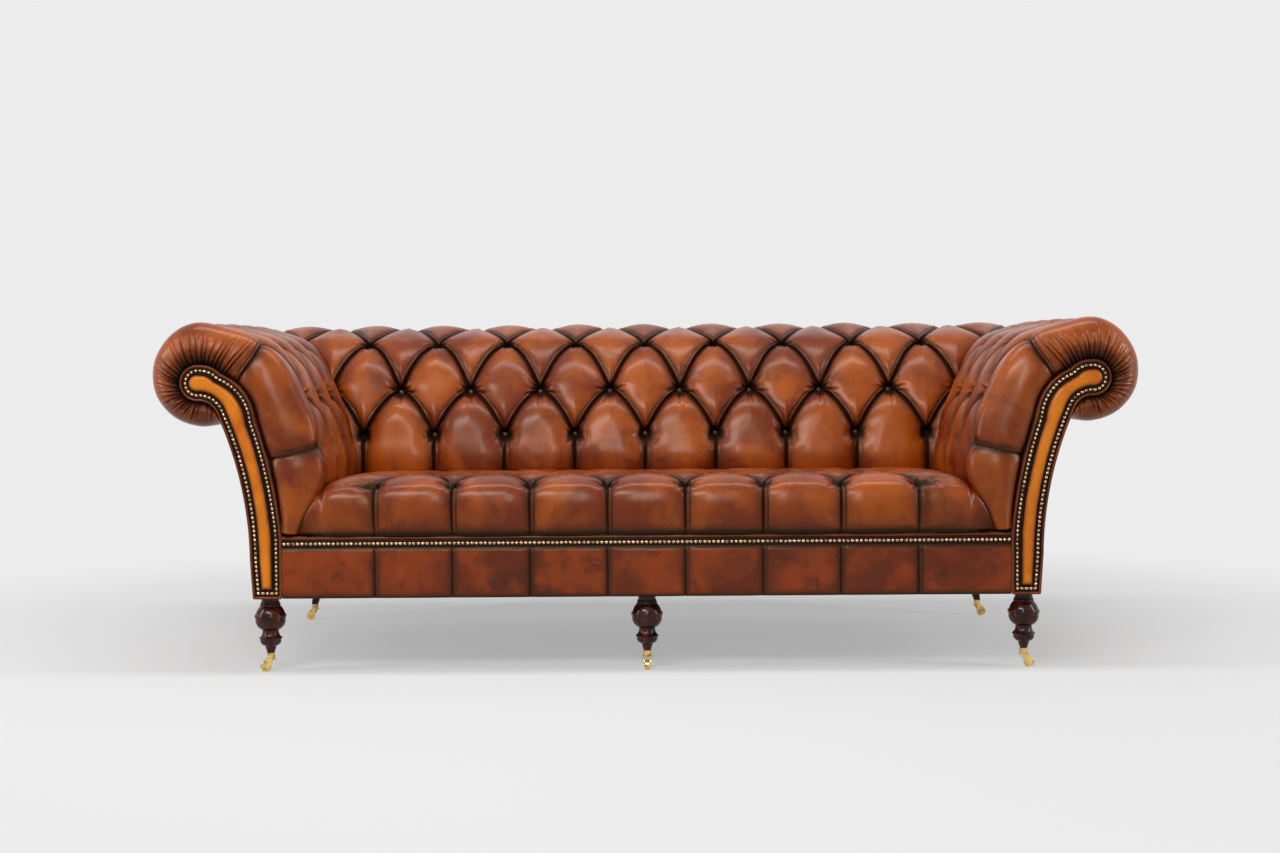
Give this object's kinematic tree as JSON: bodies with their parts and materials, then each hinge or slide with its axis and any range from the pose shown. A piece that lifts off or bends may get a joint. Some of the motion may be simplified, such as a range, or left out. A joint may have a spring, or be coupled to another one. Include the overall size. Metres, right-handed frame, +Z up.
{
  "type": "chesterfield sofa",
  "caption": "Deep-buttoned leather chesterfield sofa with rolled arms and back, nailed scroll facings, turned front legs, raked rear legs and brass castors.",
  "frame": {"origin": "on the floor, at the middle of the sofa's width and depth", "axes": "+X to the right as seen from the front, -Y to the front, +Z up"},
  "size_m": [2.367, 1.0009, 0.8441],
  "materials": {
    "tan_leather": "hand-dyed antique tan leather, polished, dark in the seams",
    "button_leather": "the same leather over buttons, dark and polished",
    "facing_leather": "bright amber rubbed leather, dark at the edges",
    "piping_leather": "dark brown leather piping",
    "border_leather": "red-brown mottled antique leather",
    "outside_leather": "smooth antique tan leather",
    "antique_brass": "domed antique brass nail heads",
    "castor_brass": "polished cast brass",
    "mahogany": "turned and French-polished dark red mahogany",
    "beech": "planed beech, unfinished",
    "jute_webbing": "woven jute webbing",
    "hessian": "hessian canvas",
    "spring_steel": "coppered spring steel wire",
    "black_cloth": "black dust cloth"
  },
  "bodies": {
    "root": {"seat_upholstery": "tan_leather", "back_upholstery": "tan_leather", "left_arm_upholstery": "tan_leather", "right_arm_upholstery": "tan_leather", "seat_buttons": "button_leather", "back_buttons": "button_leather", "arm_buttons": "button_leather", "left_arm_facing": "facing_leather", "right_arm_facing": "facing_leather", "facing_piping": "piping_leather", "border_piping": "piping_leather", "front_border": "border_leather", "left_outside_arm_panel": "outside_leather", "right_outside_arm_panel": "outside_leather", "outside_back_panel": "outside_leather", "facing_nails": "antique_brass", "border_nails": "antique_brass", "bottom_cloth": "black_cloth", "front_seat_rail": "beech", "back_seat_rail": "beech", "left_seat_rail": "beech", "right_seat_rail": "beech", "left_arm_top_rail": "beech", "right_arm_top_rail": "beech", "back_top_rail": "beech", "arm_tack_rails": "beech", "back_tack_rail": "beech", "seat_cross_rails": "beech", "corner_blocks": "beech", "left_arm_scroll_board": "beech", "right_arm_scroll_board": "beech", "rear_posts": "beech", "back_uprights": "beech", "seat_webbing": "jute_webbing", "arm_webbing": "jute_webbing", "back_webbing": "jute_webbing", "spring_canvas": "hessian", "seat_springs": "spring_steel", "castor_sockets": "castor_brass", "left_front_leg": "mahogany", "left_rear_leg": "mahogany", "centre_front_leg": "mahogany", "centre_rear_leg": "mahogany", "right_front_leg": "mahogany", "right_rear_leg": "mahogany"},
    "left_front_swivel": {"left_front_castor_horn": "castor_brass"},
    "left_front_roller": {"left_front_castor_wheel": "castor_brass"},
    "left_rear_swivel": {"left_rear_castor_horn": "castor_brass"},
    "left_rear_roller": {"left_rear_castor_wheel": "castor_brass"},
    "centre_front_swivel": {"centre_front_castor_horn": "castor_brass"},
    "centre_front_roller": {"centre_front_castor_wheel": "castor_brass"},
    "centre_rear_swivel": {"centre_rear_castor_horn": "castor_brass"},
    "centre_rear_roller": {"centre_rear_castor_wheel": "castor_brass"},
    "right_front_swivel": {"right_front_castor_horn": "castor_brass"},
    "right_front_roller": {"right_front_castor_wheel": "castor_brass"},
    "right_rear_swivel": {"right_rear_castor_horn": "castor_brass"},
    "right_rear_roller": {"right_rear_castor_wheel": "castor_brass"}
  },
  "joints": [
    {"name": "left_front_castor_swivel", "type": "hinge", "parent": "root", "child": "left_front_swivel", "pos_m": [-0.91, -0.44, 0.04], "axis": [0, 0, 1], "continuous": true},
    {"name": "left_front_wheel_spin", "type": "hinge", "parent": "left_front_swivel", "child": "left_front_roller", "pos_m": [-0.923, -0.44, 0.0125], "axis": [0, -1, 0], "continuous": true},
    {"name": "left_rear_castor_swivel", "type": "hinge", "parent": "root", "child": "left_rear_swivel", "pos_m": [-0.954, 0.453, 0.04], "axis": [0, 0, 1], "continuous": true},
    {"name": "left_rear_wheel_spin", "type": "hinge", "parent": "left_rear_swivel", "child": "left_rear_roller", "pos_m": [-0.9668, 0.45526, 0.0125], "axis": [-0.1736, -0.9848, 0], "continuous": true},
    {"name": "centre_front_castor_swivel", "type": "hinge", "parent": "root", "child": "centre_front_swivel", "pos_m": [0, -0.44, 0.04], "axis": [0, 0, 1], "continuous": true},
    {"name": "centre_front_wheel_spin", "type": "hinge", "parent": "centre_front_swivel", "child": "centre_front_roller", "pos_m": [0, -0.453, 0.0125], "axis": [1, 0, 0], "continuous": true},
    {"name": "centre_rear_castor_swivel", "type": "hinge", "parent": "root", "child": "centre_rear_swivel", "pos_m": [0, 0.453, 0.04], "axis": [0, 0, 1], "continuous": true},
    {"name": "centre_rear_wheel_spin", "type": "hinge", "parent": "centre_rear_swivel", "child": "centre_rear_roller", "pos_m": [0, 0.466, 0.0125], "axis": [-1, 0, 0], "continuous": true},
    {"name": "right_front_castor_swivel", "type": "hinge", "parent": "root", "child": "right_front_swivel", "pos_m": [0.91, -0.44, 0.04], "axis": [0, 0, 1], "continuous": true},
    {"name": "right_front_wheel_spin", "type": "hinge", "parent": "right_front_swivel", "child": "right_front_roller", "pos_m": [0.923, -0.44, 0.0125], "axis": [0, 1, 0], "continuous": true},
    {"name": "right_rear_castor_swivel", "type": "hinge", "parent": "root", "child": "right_rear_swivel", "pos_m": [0.954, 0.453, 0.04], "axis": [0, 0, 1], "continuous": true},
    {"name": "right_rear_wheel_spin", "type": "hinge", "parent": "right_rear_swivel", "child": "right_rear_roller", "pos_m": [0.9668, 0.45526, 0.0125], "axis": [-0.1736, 0.9848, 0], "continuous": true}
  ]
}
